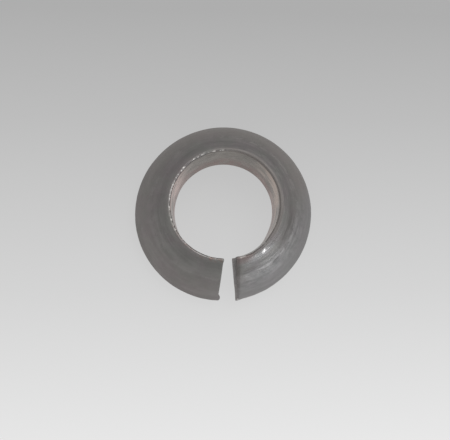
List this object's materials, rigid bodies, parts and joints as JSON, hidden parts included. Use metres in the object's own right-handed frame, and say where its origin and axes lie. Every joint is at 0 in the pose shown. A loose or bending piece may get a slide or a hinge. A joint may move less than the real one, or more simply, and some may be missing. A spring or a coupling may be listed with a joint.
{
  "type": "spring lock washer",
  "caption": "Split spring lock washer with a ball-shaped seat face, a flat base and slightly offset ends, for a wheel stud or a heavy bolt.",
  "frame": {"origin": "on the bore's axis, level with the lowest point of the base", "axes": "+Z along the bore's axis, from the flat base towards the ball face; -Y towards the cut; +X towards the side of the cut whose end stands higher"},
  "size_m": [0.036, 0.036, 0.0093],
  "materials": {
    "steel": "dark hardened and oiled, dull"
  },
  "bodies": {
    "root": {"lock_washer": "steel"}
  },
  "joints": []
}
